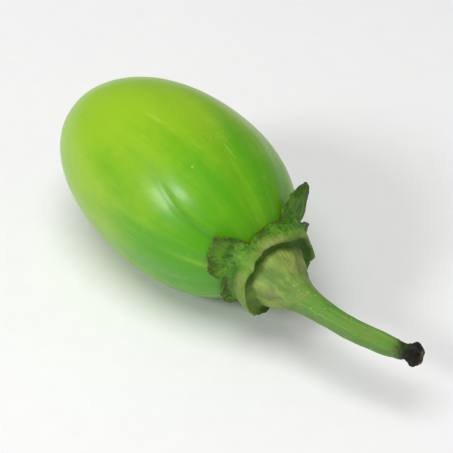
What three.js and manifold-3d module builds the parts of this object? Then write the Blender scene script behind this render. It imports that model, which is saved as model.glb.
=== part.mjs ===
// A scarlet eggplant, as picked: a ribbed oval fruit lying on its side, the calyx that caps it and its stem.
// Millimetres, +Z up. The origin is the middle of the small flat spot that the fruit rests on,
// and +X runs along the fruit towards the stem.
//
// The three pieces are shaped in the fruit's own frame: x runs along its axis from the widest ring,
// negative to the blossom tip and positive to the stem. Angles round the axis start at the top of the
// lying fruit and grow towards -Y.
import * as THREE from "three";
import { mergeVertices } from "three/addons/utils/BufferGeometryUtils.js";
import Module from "manifold-3d";

const wasm = await Module();
wasm.setup();

const { clamp, degToRad, lerp, smoothstep } = THREE.MathUtils;

// Fruit
const FRUIT_WIDTH = 45.5; // across the widest ring
const BLOSSOM_REACH = 39; // from the widest ring to the blossom tip
const SHOULDER_REACH = 35; // from the widest ring to the pole under the calyx
const SHOULDER_FULLNESS = 2.25; // 2 is an ellipse, more is squarer
const BLOSSOM_FULLNESS = 2.1;
const TIP_RISE = 1.2; // how far the blossom tip stands out of the rounded end
const TIP_SPREAD = 4.5; // radius of that rise
const BOW = 1.6; // how far the blossom end has bent towards -Y
const RIB_COUNT = 7;
const GROOVE_DEPTH = 0.75; // on the shoulder, where the grooves are deepest
const GROOVE_LEFT = 0.25; // share of that depth on the blossom half
const GROOVE_SHARPNESS = 3;
const FIRST_GROOVE = degToRad(6.6);
const SMOOTH_RADIUS = 11; // the grooves run out inside this radius at both ends

// How it lies
const STEM_DROOP = degToRad(3.5); // the stem end lies a little lower than the blossom end
const FLAT_DEPTH = 0.45; // how much of the rounded belly the flat spot takes off

// Calyx: a cup on the shoulder, with a raised collar round the stem and five pointed lobes
const CALYX_THICKNESS = 4; // at the middle
const CALYX_EDGE = 0.8; // at the lobes' edges
const COLLAR_FROM_FOOT = 1.6; // along the skin from the stem's foot to the collar's crest
const COLLAR_RISE = 1.8;
const COLLAR_SPREAD = 1.9;
const CUP_FROM_COLLAR = 1.8; // from the crest to the cup's edge between two lobes
const MIDRIB_RISE = 0.5;
const MIDRIB_SPREAD = 1.4;
const LOBE_HALF_ANGLE = degToRad(33);
const LOBE_POINT = 1.2; // 1 gives straight-sided lobes, more draws their tips out
const LIFT_CURVE = 1.6; // 1 lifts a lobe in a straight line, more curls its tip up
const CALYX_LOBES = [
  { at: degToRad(-45), length: 7.2, lift: 4.6 },
  { at: degToRad(57), length: 5, lift: 0.5 },
  { at: degToRad(132), length: 2.8, lift: 0.6 },
  { at: degToRad(199), length: 4.6, lift: 0.2 },
  { at: degToRad(266), length: 6.4, lift: 1.6 },
];

// Stem
const STEM_LENGTH = 42; // along its centreline, from the foot to the cut
const STEM_RADIUS = 2.6;
const FOOT_RADIUS = 6.3; // where the stem spreads over the middle of the calyx
const FOOT_OFFSET = new THREE.Vector2(-0.8, -0.9); // its middle off the fruit's axis, in y and z
const FOOT_FLARE = 6.5; // how far along the stem that spreading reaches
const FOOT_CURVE = 1.5; // 1 is a sharp trumpet, 2 a rounded bell
const FOOT_EDGE = 0.6; // thickness of the foot's rim
const KNOB_SWELL = 0.6; // the swelling before the cut, added to the radius
const KNOB_FROM_CUT = 2.6;
const KNOB_SPREAD = 2.2;
const CUT_BULGE = 0.5; // how far the cut end is rounded out
const CUT_FLAT = 0.8; // share of its radius that is flat
const STEM_SWAY = 10.8; // how far the cut end has bent towards +Y
const STEM_RISE = 0.4; // and up
const STEM_BEND = 2.1; // 1 keeps the stem straight, more leaves the bend to its far end
const STEM_SHORTENING = 0.03; // share of its length that the bend costs along the fruit's axis

// Neighbouring pieces keep this gap
const SEAT_GAP = 0.35;

const WELD = 1e-4; // vertices closer than this are one

// How finely each piece is divided
const FRUIT_AROUND = 56;
const FRUIT_ALONG = 30;
const CALYX_AROUND = 60;
const LOBE_ALONG = 5;
const STEM_AROUND = 14;
const STEM_ALONG = 22;
const CLOSER_AT_FOOT = 1.35; // 1 spaces the stem's rings evenly, more crowds them at the foot

// The fruit's outline as (radius, x), from the blossom tip to the pole under the calyx.
class FruitOutline extends THREE.Curve {
  getPoint(t, target = new THREE.Vector2()) {
    const turn = Math.PI * t;
    const radius = (FRUIT_WIDTH / 2) * Math.sin(turn);
    const across = Math.abs(Math.cos(turn));
    const tip = TIP_RISE * Math.exp(-((radius / TIP_SPREAD) ** 2));
    const x =
      t < 0.5
        ? -(BLOSSOM_REACH - TIP_RISE) * across ** (2 / BLOSSOM_FULLNESS) - tip
        : SHOULDER_REACH * across ** (2 / SHOULDER_FULLNESS);
    return target.set(Math.max(radius, 0), x);
  }
}

const outline = new FruitOutline();
const outlineLength = outline.getLength();

// How deep the nearest groove is at a place on the skin. The grooves are deepest on the shoulder
// and run out before the blossom tip and before the pole.
function grooveDepth(radius, x, angle) {
  const along = (x + BLOSSOM_REACH) / (BLOSSOM_REACH + SHOULDER_REACH);
  const towardsStem = lerp(GROOVE_LEFT, 1, smoothstep(along, 0.3, 0.9));
  const nearPoles = smoothstep(radius, 0, SMOOTH_RADIUS);
  const wave = 0.5 + 0.5 * Math.cos(RIB_COUNT * (angle - FIRST_GROOVE));
  return GROOVE_DEPTH * towardsStem * nearPoles * wave ** GROOVE_SHARPNESS;
}

// A point in the fruit's frame, at a radius and an angle round its axis.
function roundAxis(x, radius, angle) {
  return new THREE.Vector3(
    x,
    -radius * Math.sin(angle),
    radius * Math.cos(angle),
  );
}

// Bends the fruit's straight axis into a slight bow, which runs straight on along the stem.
function bowed(point) {
  const share = Math.min(point.x, SHOULDER_REACH) / BLOSSOM_REACH;
  const beyond = Math.max(point.x - SHOULDER_REACH, 0) / BLOSSOM_REACH;
  point.y -= BOW * (share ** 2 + 2 * share * beyond);
  return point;
}

// The point a given height above the skin, at a distance along the skin from the pole.
function aboveSkin(distance, angle, height) {
  const t = 1 - clamp(distance / outlineLength, 0, 1);
  const point = outline.getPointAt(t);
  const tangent = outline.getTangentAt(t);
  const radius = point.x - grooveDepth(point.x, point.y, angle);
  return roundAxis(
    point.y - tangent.x * height,
    Math.max(radius + tangent.y * height, 0),
    angle,
  );
}

// Moves every vertex of a lathed shape to where place(radius, height, angle) says, bows the result
// with the fruit, and closes its seams.
function reshape(lathe, place) {
  const made = lathe.clone();
  made.deleteAttribute("normal");
  made.deleteAttribute("uv");
  const positions = made.getAttribute("position");
  for (let i = 0; i < positions.count; i++) {
    const x = positions.getX(i);
    const z = positions.getZ(i);
    const moved = bowed(
      place(Math.hypot(x, z), positions.getY(i), Math.atan2(x, z)),
    );
    positions.setXYZ(i, moved.x, moved.y, moved.z);
  }
  return mergeVertices(made, WELD);
}

function fruitGeometry() {
  const rings = outline.getSpacedPoints(FRUIT_ALONG);
  const lathe = new THREE.LatheGeometry(rings, FRUIT_AROUND);
  return reshape(lathe, (radius, x, angle) =>
    roundAxis(x, radius - grooveDepth(radius, x, angle), angle),
  );
}

// The lobe that lies in a direction, how far round from its middle that is,
// and how much of the lobe's length is left there.
function lobeAt(angle) {
  const near = CALYX_LOBES.map((lobe) => {
    const turn = angle - lobe.at;
    const away = Math.atan2(Math.sin(turn), Math.cos(turn));
    const share = clamp(1 - Math.abs(away) / LOBE_HALF_ANGLE, 0, 1);
    return { lobe, away, share };
  });
  return near.reduce((best, one) => (one.share > best.share ? one : best));
}

// Distances along the skin from the pole: to the edge of the stem's foot, the collar's crest
// and the cup's edge.
const footReach = FOOT_RADIUS + FOOT_OFFSET.length();
const collarReach = footReach + COLLAR_FROM_FOOT;
const cupReach = collarReach + CUP_FROM_COLLAR;

// The calyx's rows of vertices: fixed distances over the cup, then equal shares of each lobe.
const cupRows = [
  0,
  footReach / 2,
  footReach,
  collarReach - COLLAR_SPREAD / 2,
  collarReach,
  collarReach + COLLAR_SPREAD / 2,
  cupReach,
];
const rowCount = cupRows.length + LOBE_ALONG;

function rowDistance(row, angle) {
  if (row < cupRows.length) return cupRows[row];
  const { lobe, share } = lobeAt(angle);
  const reach = CALYX_EDGE + lobe.length * share ** LOBE_POINT;
  return cupReach + (reach * (row - cupRows.length + 1)) / LOBE_ALONG;
}

// The underside of the calyx follows the skin, and lifts off it towards the tips of the lobes.
function calyxLift(distance, angle) {
  const { lobe, share } = lobeAt(angle);
  const tip = cupReach + lobe.length;
  const outwards = clamp(
    (distance - collarReach) / (tip - collarReach),
    0,
    1,
  );
  return lobe.lift * outwards ** LIFT_CURVE * Math.sqrt(share);
}

function calyxThickness(distance, angle) {
  const { lobe, away, share } = lobeAt(angle);
  const outwards = smoothstep(
    distance,
    collarReach,
    cupReach + lobe.length,
  );
  const plain = lerp(CALYX_THICKNESS, CALYX_EDGE, outwards);
  const fromCrest = (distance - collarReach) / COLLAR_SPREAD;
  const collar = COLLAR_RISE * Math.exp(-2 * fromCrest ** 2);
  const beside = (distance * away) / MIDRIB_SPREAD;
  const midrib = MIDRIB_RISE * share * Math.exp(-(beside ** 2));
  const clearOfFoot = smoothstep(distance, footReach, collarReach);
  return plain + clearOfFoot * (collar + midrib);
}

function calyxGeometry() {
  const rows = Array.from({ length: rowCount }, (_, row) => row);
  const profile = [
    ...rows.map((row) => new THREE.Vector2(row, 0)),
    ...rows.reverse().map((row) => new THREE.Vector2(row, 1)),
  ];
  const lathe = new THREE.LatheGeometry(profile, CALYX_AROUND);
  return reshape(lathe, (row, side, angle) => {
    const distance = rowDistance(Math.round(row), angle);
    const under = SEAT_GAP + calyxLift(distance, angle);
    const height = under + side * calyxThickness(distance, angle);
    return aboveSkin(distance, angle, height);
  });
}

// The point of the stem's underside at a radius and an angle round its own middle.
// It lies the gap above the calyx.
function footSeat(radius, angle) {
  const y = FOOT_OFFSET.x - radius * Math.sin(angle);
  const z = FOOT_OFFSET.y + radius * Math.cos(angle);
  const height = SEAT_GAP + CALYX_THICKNESS + SEAT_GAP;
  const fromAxis = Math.hypot(y, z);
  const round = Math.atan2(-y, z);
  const tried = aboveSkin(fromAxis, round, height);
  const distance = fromAxis ** 2 / Math.hypot(tried.y, tried.z);
  return new THREE.Vector3(aboveSkin(distance, round, height).x, y, z);
}

function stemRadius(along) {
  const spread = Math.exp(-((along / FOOT_FLARE) ** FOOT_CURVE));
  const fromKnob = (STEM_LENGTH - KNOB_FROM_CUT - along) / KNOB_SPREAD;
  const knob = KNOB_SWELL * Math.exp(-(fromKnob ** 2));
  return STEM_RADIUS + (FOOT_RADIUS - STEM_RADIUS) * spread + knob;
}

// The stem's centreline, from the middle of its foot to the cut. It leaves along the fruit's axis
// and bends more and more towards +Y, so its reach along that axis is a little less than its length.
function stemCentreline() {
  const foot = footSeat(0, 0);
  const shares = [0, 0.2, 0.4, 0.6, 0.8, 1];
  const points = shares.map((share) => {
    const reach = STEM_LENGTH * share * (1 - STEM_SHORTENING * share);
    const sway = STEM_SWAY * share ** STEM_BEND;
    return new THREE.Vector3(reach, sway, STEM_RISE * share).add(foot);
  });
  return new THREE.CatmullRomCurve3(points);
}

function stemGeometry() {
  const side = [];
  for (let i = 0; i <= STEM_ALONG; i++) {
    const along = STEM_LENGTH * (i / STEM_ALONG) ** CLOSER_AT_FOOT;
    side.push(new THREE.Vector2(stemRadius(along), along));
  }
  const profile = [
    new THREE.Vector2(0, -1),
    new THREE.Vector2(FOOT_RADIUS / 2, -1),
    new THREE.Vector2(FOOT_RADIUS, -1),
    ...side,
    new THREE.Vector2(CUT_FLAT * stemRadius(STEM_LENGTH), STEM_LENGTH + CUT_BULGE),
    new THREE.Vector2(0, STEM_LENGTH + CUT_BULGE),
  ];
  const lathe = new THREE.LatheGeometry(profile, STEM_AROUND);
  const centreline = stemCentreline();
  const length = centreline.getLength();
  const up = new THREE.Vector3(0, 0, 1);
  return reshape(lathe, (radius, along, angle) => {
    const seat = footSeat(radius, angle);
    if (along < 0) return seat;
    const t = clamp(along / length, 0, 1);
    const ahead = centreline.getTangentAt(t);
    const left = new THREE.Vector3().crossVectors(up, ahead).normalize();
    const above = new THREE.Vector3().crossVectors(ahead, left);
    const point = centreline
      .getPointAt(t)
      .addScaledVector(ahead, along - t * length)
      .addScaledVector(left, -radius * Math.sin(angle))
      .addScaledVector(above, radius * Math.cos(angle));
    const lowest = seat.x + FOOT_EDGE;
    point.x = Math.max(point.x, lowest);
    return point;
  });
}

function solidOf(geometry) {
  const bare = geometry.clone();
  bare.deleteAttribute("normal");
  bare.deleteAttribute("uv");
  const merged = mergeVertices(bare, WELD);
  return new wasm.Manifold(
    new wasm.Mesh({
      numProp: 3,
      vertProperties: new Float32Array(merged.attributes.position.array),
      triVerts: new Uint32Array(merged.index.array),
    }),
  );
}

function geometryOf(solid) {
  const mesh = solid.getMesh();
  const made = new THREE.BufferGeometry();
  made.setAttribute(
    "position",
    new THREE.BufferAttribute(mesh.vertProperties, 3),
  );
  made.setIndex(new THREE.BufferAttribute(mesh.triVerts, 1));
  made.computeVertexNormals();
  return made;
}

// The vertices of a geometry, moved by a matrix.
function placedVertices(geometry, matrix) {
  const positions = geometry.getAttribute("position");
  return Array.from({ length: positions.count }, (_, i) =>
    new THREE.Vector3().fromBufferAttribute(positions, i).applyMatrix4(matrix),
  );
}

// Tips the group to the angle the fruit lies at, cuts the flat spot where the floor is,
// and slides the group so that the spot's middle is the origin.
function layOnFloor(lying, round) {
  lying.rotation.y = STEM_DROOP;
  lying.updateMatrix();
  const lowest = Math.min(
    ...placedVertices(round, lying.matrix).map((v) => v.z),
  );
  lying.position.z = -lowest - FLAT_DEPTH;
  lying.updateMatrix();

  const side = 4 * (BLOSSOM_REACH + SHOULDER_REACH);
  const floor = new THREE.BoxGeometry(side, side, side);
  floor.translate(0, 0, -side / 2);
  floor.applyMatrix4(lying.matrix.clone().invert());
  const cut = geometryOf(solidOf(round).subtract(solidOf(floor)));

  const spot = new THREE.Box3().setFromPoints(
    placedVertices(cut, lying.matrix).filter((v) => Math.abs(v.z) < 10 * WELD),
  );
  const middle = spot.getCenter(new THREE.Vector3());
  lying.position.x -= middle.x;
  lying.position.y -= middle.y;
  return cut;
}

const skin = new THREE.MeshStandardMaterial({
  color: "#7fb52c",
  roughness: 0.32,
  metalness: 0,
});
const calyxGreen = new THREE.MeshStandardMaterial({
  color: "#6f8f41",
  roughness: 0.62,
  metalness: 0,
});
const stemGreen = new THREE.MeshStandardMaterial({
  color: "#6b9a3b",
  roughness: 0.55,
  metalness: 0,
});

function piece(name, geometry, material) {
  const mesh = new THREE.Mesh(geometry, material);
  mesh.name = name;
  return mesh;
}

const lying = new THREE.Group();
const fruit = layOnFloor(lying, fruitGeometry());
lying.add(piece("fruit", fruit, skin));
lying.add(piece("calyx", calyxGeometry(), calyxGreen));
lying.add(piece("stem", stemGeometry(), stemGreen));

const eggplant = new THREE.Group();
eggplant.add(lying);

export default eggplant;
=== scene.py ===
# %% [markdown]
# # A scarlet eggplant, picked green
#
# The object is one small fruit lying on its side: the glossy, faintly ribbed berry, the leafy calyx
# that caps its stem end, and the cut stem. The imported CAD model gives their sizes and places. This
# script grows a finer skin over each of them and gives it a finish.

# %% The frame
import math

import bmesh
import bpy
import numpy as np
from mathutils import Matrix, Vector, noise


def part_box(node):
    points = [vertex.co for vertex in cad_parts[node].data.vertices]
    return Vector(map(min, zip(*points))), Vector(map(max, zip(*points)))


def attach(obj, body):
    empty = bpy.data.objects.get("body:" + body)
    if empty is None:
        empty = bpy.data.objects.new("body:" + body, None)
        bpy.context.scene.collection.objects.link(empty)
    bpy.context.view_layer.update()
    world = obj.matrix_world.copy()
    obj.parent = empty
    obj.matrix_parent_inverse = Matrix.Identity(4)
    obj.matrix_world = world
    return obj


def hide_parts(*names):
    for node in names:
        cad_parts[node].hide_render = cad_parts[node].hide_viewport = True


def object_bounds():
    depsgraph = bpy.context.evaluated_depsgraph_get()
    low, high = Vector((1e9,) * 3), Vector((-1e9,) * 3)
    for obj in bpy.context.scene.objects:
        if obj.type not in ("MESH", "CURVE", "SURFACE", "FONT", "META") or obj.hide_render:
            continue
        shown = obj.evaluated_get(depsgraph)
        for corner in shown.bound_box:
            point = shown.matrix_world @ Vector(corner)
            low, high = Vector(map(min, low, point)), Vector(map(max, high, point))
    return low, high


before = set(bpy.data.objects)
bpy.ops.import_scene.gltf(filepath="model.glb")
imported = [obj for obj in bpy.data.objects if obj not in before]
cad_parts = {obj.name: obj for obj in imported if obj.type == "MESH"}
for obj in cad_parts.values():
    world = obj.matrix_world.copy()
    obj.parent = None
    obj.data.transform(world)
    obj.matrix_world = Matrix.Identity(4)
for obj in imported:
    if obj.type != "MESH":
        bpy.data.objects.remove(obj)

MM = 0.001
bpy.context.view_layer.update()
cad_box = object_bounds()
cad_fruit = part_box("fruit")
print("CAD box, mm:", [[round(v / MM, 2) for v in corner] for corner in cad_box])

# %% [markdown]
# ## One set of sizes for all three pieces
#
# The berry is a body of revolution that ribs and a slight bow have been worked into, and the calyx
# and the stem grow on it. So all three are described in the berry's own frame: x runs along its
# axis from the widest ring, negative to the blossom tip and positive to the stem, and angles round
# the axis start at the top of the lying fruit and grow towards -Y. Sizes that the CAD model also
# has are repeated here in metres.

# %% Sizes of the berry
WIDTH = 45.5 * MM
BLOSSOM_REACH = 39 * MM
SHOULDER_REACH = 35 * MM
BLOSSOM_FULLNESS = 2.1
SHOULDER_FULLNESS = 2.25
TIP_RISE = 1.2 * MM
TIP_SPREAD = 4.5 * MM
BOW = 1.6 * MM
RIBS = 7
GROOVE_DEPTH = 0.6 * MM
GROOVE_SHARPNESS = 3
GROOVE_LEFT = 0.25                      # share of the depth that is left at the blossom end
GROOVE_GROWS = (0.3, 0.9)               # share of the fruit's length over which it deepens
FIRST_GROOVE = math.radians(6.6)
GROOVE_SLANT = math.radians(60)         # how far a slanted groove turns in one length
SLANT_STARTS = (-0.7, 0.35)             # directions where the slant sets in, and
SLANT_ENDS = (0.52, 1.47)               # where it is over again, in radians
SLANT_FROM = 0.9                        # share of the length that the slant is measured from
SLANT_LIMITS = (-0.05, 0.3)
DEEPEST_AT = math.radians(57)
DEEPEST_SPREAD = math.radians(34)
SHALLOWEST = 0.45                       # share of the depth on the far side of the deepest one
SMOOTH_RADIUS = 11 * MM
DROOP = math.radians(3.5)
FLAT_DEPTH = 0.45 * MM
print(f"berry: {(BLOSSOM_REACH + SHOULDER_REACH) / MM:.1f} mm long, {WIDTH / MM:.1f} mm wide,",
      f"{RIBS} grooves of up to {GROOVE_DEPTH / MM:.1f} mm")


# %% [markdown]
# The same outline is needed twice: as numbers, to lay the calyx on the skin, and as nodes, to make
# the berry itself. Here it is as numbers. `skin_point` walks a distance over the skin from the
# pole under the stem, turns round the axis, and rises off the surface.

# %% The berry's outline as numbers
def smoothstep(value, low, high):
    share = np.clip((value - low) / (high - low), 0, 1)
    return share * share * (3 - 2 * share)


def bell(value, middle, spread):
    return np.exp(-(((value - middle) / spread) ** 2))


def outline(turn):
    """Radius and place along the axis, from the blossom tip at 0 to the stem's pole at pi."""
    radius = WIDTH / 2 * np.sin(turn)
    across = np.abs(np.cos(turn))
    tip = TIP_RISE * bell(radius, 0, TIP_SPREAD)
    blossom = -(BLOSSOM_REACH - TIP_RISE) * across ** (2 / BLOSSOM_FULLNESS) - tip
    shoulder = SHOULDER_REACH * across ** (2 / SHOULDER_FULLNESS)
    return radius, np.where(turn < math.pi / 2, blossom, shoulder)


turns = np.linspace(math.pi, 0, 8001)
outline_radius, outline_x = outline(turns)
outline_step = np.hypot(np.diff(outline_radius), np.diff(outline_x))
outline_distance = np.concatenate([[0], np.cumsum(outline_step)])
slope_radius = np.gradient(outline_radius, outline_distance)
slope_x = np.gradient(outline_x, outline_distance)


def groove(radius, x, angle):
    along = (x + BLOSSOM_REACH) / (BLOSSOM_REACH + SHOULDER_REACH)
    towards_stem = GROOVE_LEFT + (1 - GROOVE_LEFT) * smoothstep(along, *GROOVE_GROWS)
    near = np.arctan2(np.sin(angle), np.cos(angle))
    slanted = smoothstep(near, *SLANT_STARTS) * (1 - smoothstep(near, *SLANT_ENDS))
    slant = GROOVE_SLANT * slanted * np.clip(SLANT_FROM - along, *SLANT_LIMITS)
    wave = 0.5 + 0.5 * np.cos(RIBS * (angle + slant - FIRST_GROOVE))
    near_poles = smoothstep(radius, 0, SMOOTH_RADIUS)
    deepest = SHALLOWEST + (1 - SHALLOWEST) * bell(near, DEEPEST_AT, DEEPEST_SPREAD)
    return GROOVE_DEPTH * towards_stem * near_poles * deepest * wave**GROOVE_SHARPNESS


def bowed(points):
    share = np.minimum(points[..., 0], SHOULDER_REACH) / BLOSSOM_REACH
    beyond = np.maximum(points[..., 0] - SHOULDER_REACH, 0) / BLOSSOM_REACH
    moved = points.copy()
    moved[..., 1] -= BOW * (share**2 + 2 * share * beyond)
    return moved


def skin_point(distance, angle, height):
    radius = np.interp(distance, outline_distance, outline_radius)
    x = np.interp(distance, outline_distance, outline_x)
    out_x = np.interp(distance, outline_distance, slope_radius)
    out_radius = -np.interp(distance, outline_distance, slope_x)
    away = np.maximum(radius - groove(radius, x, angle) + out_radius * height, 0)
    return np.stack([x + out_x * height, -away * np.sin(angle), away * np.cos(angle)], -1)


# %% [markdown]
# The fruit lies with its stem end a little low, on a spot that its own weight has flattened. The
# CAD berry says where that is: turn the sampled skin by the droop, then slide it until its box
# meets the CAD berry's box.

# %% Where the fruit lies
SAMPLES = 181
around, along = np.meshgrid(np.linspace(0, math.tau, SAMPLES),
                            np.linspace(0, outline_distance[-1], SAMPLES))
sampled = bowed(skin_point(along, around, 0)).reshape(-1, 3)
tilt = Matrix.Rotation(DROOP, 4, "Y")
tilted = sampled @ np.array(tilt.to_3x3()).T
low, high = tilted.min(0), tilted.max(0)
slide = Vector((
    (cad_fruit[0].x + cad_fruit[1].x - low[0] - high[0]) / 2,
    (cad_fruit[0].y + cad_fruit[1].y - low[1] - high[1]) / 2,
    -low[2] - FLAT_DEPTH,
))
lie = Matrix.Translation(slide) @ tilt
print("slide, mm:", [round(v / MM, 2) for v in slide])
print("made berry, mm:", np.round((high - low) / MM, 2),
      " CAD berry, mm:", np.round(np.array(cad_fruit[1] - cad_fruit[0]) / MM, 2))


# %% [markdown]
# ## A short way to write nodes
#
# Geometry and shader trees are made of the same small steps, so one helper serves both: it adds a
# node, feeds each input with either another node's output or a plain value, and hands back an
# output to build on. `times`, `plus` and `minus` are short for the sums that come up most, `ease`
# is a smooth step from one value to another, and `note` leaves a value on the mesh.

# %% Node helpers
class Nodes:
    def __init__(self, tree):
        self.tree = tree

    def feed(self, socket, value):
        if isinstance(value, bpy.types.NodeSocket):
            self.tree.links.new(value, socket)
        elif value is not None:
            socket.default_value = value

    def add(self, kind, *values, out=0, named=None, **settings):
        made = self.tree.nodes.new(kind)
        for name, value in settings.items():
            setattr(made, name, value)
        for socket, value in zip(made.inputs, values):
            self.feed(socket, value)
        for name, value in (named or {}).items():
            self.feed(made.inputs[name], value)
        return made.outputs[out]

    def math(self, operation, *values, clamp=False):
        return self.add("ShaderNodeMath", *values, operation=operation, use_clamp=clamp)

    def times(self, first, *others):
        for other in others:
            first = self.math("MULTIPLY", first, other)
        return first

    def plus(self, first, *others):
        for other in others:
            first = self.math("ADD", first, other)
        return first

    def minus(self, first, second):
        return self.math("SUBTRACT", first, second)

    def swing(self, value, *sizes):
        """A value from 0 to 1 turned into a swing either way of nothing, and scaled."""
        return self.times(self.minus(value, 0.5), *sizes)

    def vector(self, operation, *values, out=0):
        return self.add("ShaderNodeVectorMath", *values, operation=operation, out=out)

    def xyz(self, vector):
        return self.add("ShaderNodeSeparateXYZ", vector).node.outputs

    def join(self, x, y, z):
        return self.add("ShaderNodeCombineXYZ", x, y, z)

    def ease(self, value, low, high, to_low=0.0, to_high=1.0):
        return self.add("ShaderNodeMapRange", value, low, high, to_low, to_high,
                        interpolation_type="SMOOTHSTEP")

    def blend(self, share, first, second):
        made = self.tree.nodes.new("ShaderNodeMix")
        for slot, value in zip((0, 2, 3), (share, first, second)):
            self.feed(made.inputs[slot], value)
        return made.outputs[0]

    def tint(self, share, first, second):
        made = self.tree.nodes.new("ShaderNodeMix")
        made.data_type = "RGBA"
        for slot, value in zip((0, 6, 7), (share, first, second)):
            self.feed(made.inputs[slot], value)
        return made.outputs[2]

    def noise(self, vector, scale, detail=2.0, roughness=0.5, distortion=0.0):
        return self.add("ShaderNodeTexNoise", named={
            "Vector": vector, "Scale": scale, "Detail": detail,
            "Roughness": roughness, "Distortion": distortion})

    def note(self, geometry, name, value, kind="FLOAT"):
        """Writes a value on every point of a geometry, for the material to read."""
        return self.add("GeometryNodeStoreNamedAttribute", data_type=kind, domain="POINT",
                        named={"Geometry": geometry, "Name": name, "Value": value})

    def bell(self, value, middle, spread):
        """1 where value is at the middle, falling off smoothly on both sides."""
        off = self.math("DIVIDE", self.minus(value, middle), spread)
        return self.math("EXPONENT", self.times(off, off, -1.0))


def new_tree(name, kind, inputs, outputs):
    """A node group with inputs (name, socket kind, default) and outputs (name, kind)."""
    tree = bpy.data.node_groups.new(name, kind)
    for label, socket_kind, value in inputs:
        socket = tree.interface.new_socket(name=label, in_out="INPUT", socket_type=socket_kind)
        if value is not None:
            socket.default_value = value
    for label, socket_kind in outputs:
        tree.interface.new_socket(name=label, in_out="OUTPUT", socket_type=socket_kind)
    asked = tree.nodes.new("NodeGroupInput").outputs
    given = tree.nodes.new("NodeGroupOutput").inputs
    return tree, Nodes(tree), asked, given


def grow(name, start, tree, values):
    """Runs a Geometry Nodes tree on an object's data and keeps the result as a plain mesh."""
    host = bpy.data.objects.new(name + "_host", start)
    bpy.context.scene.collection.objects.link(host)
    modifier = host.modifiers.new(name, "NODES")
    modifier.node_group = tree
    for socket in tree.interface.items_tree:
        if socket.in_out == "INPUT" and socket.name in values:
            modifier[socket.identifier] = values[socket.name]
    ready = host.evaluated_get(bpy.context.evaluated_depsgraph_get())
    mesh = bpy.data.meshes.new_from_object(ready)
    bpy.data.objects.remove(host)
    piece = bpy.data.objects.new(name, mesh)
    bpy.context.scene.collection.objects.link(piece)
    mesh.shade_smooth()
    return piece


def measure(piece):
    corners = np.array([v.co for v in piece.data.vertices])
    size = np.round((corners.max(0) - corners.min(0)) / MM, 2)
    print(f"{piece.name}: {len(piece.data.polygons)} faces, {size} mm")


# %% [markdown]
# The berry and the stem both end with the same moves: the bow, which runs straight on along the
# stem, the droop, and the slide onto the ground.

# %% The lie as nodes
def lay_down(n, point, reach_back, reach_ahead, bow, droop, slide):
    x, y, z = n.xyz(point)
    share = n.math("DIVIDE", n.math("MINIMUM", x, reach_ahead), reach_back)
    beyond = n.math("DIVIDE", n.math("MAXIMUM", n.minus(x, reach_ahead), 0.0), reach_back)
    twice_beyond = n.times(beyond, 2.0)
    bend = n.times(share, n.plus(share, twice_beyond), bow)
    point = n.join(x, n.minus(y, bend), z)
    turned = n.add("ShaderNodeVectorRotate", point, (0, 0, 0), (0, 1, 0), droop,
                   rotation_type="AXIS_ANGLE")
    return n.vector("ADD", turned, slide)


# %% [markdown]
# ## The berry
#
# A gilo fruit is a smooth oval with shallow grooves that start under the calyx and fade before the
# blossom end. That is a rule, so the berry is a Geometry Nodes tree: a sphere whose every point is
# sent to the outline, pressed in along the grooves, bowed, tipped over and set down. The last step
# flattens the belly softly where it touches the ground, which is how a firm fruit really rests.
# The tree also leaves notes on the skin for the material: how far along the fruit a point is, which
# way round it lies, and how deep in a groove.

# %% Shares and scales for the berry's detail
CREASE_GROWS = (0.42, 0.88)             # shares of the fruit's length
RIB_LINE_GROWS = (0.5, 0.85)
SMALLEST_CREASE = 0.1
WANDER_SCALE = 2.2
SWELL_SCALE, RIPPLE_SCALE, RIPPLE_SHARE = 52.0, 260.0, 0.12
RING_WIDTH, RING_HEIGHT = 0.35, 0.16    # of the scar, as shares of its radius
PIT_WIDTH, PIT_DEPTH = 0.55, 0.3
STAIN_WIDTH = 1.3

# %% The berry's nodes
NUMBER, COUNT, ARROW = "NodeSocketFloat", "NodeSocketInt", "NodeSocketVector"
GEOMETRY, FINISH = "NodeSocketGeometry", "NodeSocketMaterial"

berry_tree, n, asked, given = new_tree("Grow a ribbed berry", "GeometryNodeTree", [
    ("Points round", COUNT, 288),
    ("Rings", COUNT, 224),
    ("Width", NUMBER, WIDTH),
    ("Blossom reach", NUMBER, BLOSSOM_REACH),
    ("Shoulder reach", NUMBER, SHOULDER_REACH),
    ("Blossom fullness", NUMBER, BLOSSOM_FULLNESS),
    ("Shoulder fullness", NUMBER, SHOULDER_FULLNESS),
    ("Tip rise", NUMBER, TIP_RISE),
    ("Tip spread", NUMBER, TIP_SPREAD),
    ("Bow", NUMBER, BOW),
    ("Ribs", NUMBER, RIBS),
    ("First groove", NUMBER, FIRST_GROOVE),
    ("Groove slant", NUMBER, GROOVE_SLANT),
    ("Groove depth", NUMBER, GROOVE_DEPTH),
    ("Crease depth", NUMBER, 0.3 * MM),
    ("Crease width", NUMBER, 0.13),
    ("Crease wander", NUMBER, 0.9),
    ("Rib line sharpness", NUMBER, 60.0),
    ("Smooth radius", NUMBER, SMOOTH_RADIUS),
    ("Unevenness", NUMBER, 0.35 * MM),
    ("Scar radius", NUMBER, 1.3 * MM),
    ("Rest softness", NUMBER, 0.5 * MM),
    ("Droop", NUMBER, DROOP),
    ("Slide", ARROW, None),
    ("Finish", FINISH, None),
], [("Geometry", GEOMETRY)])

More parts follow.
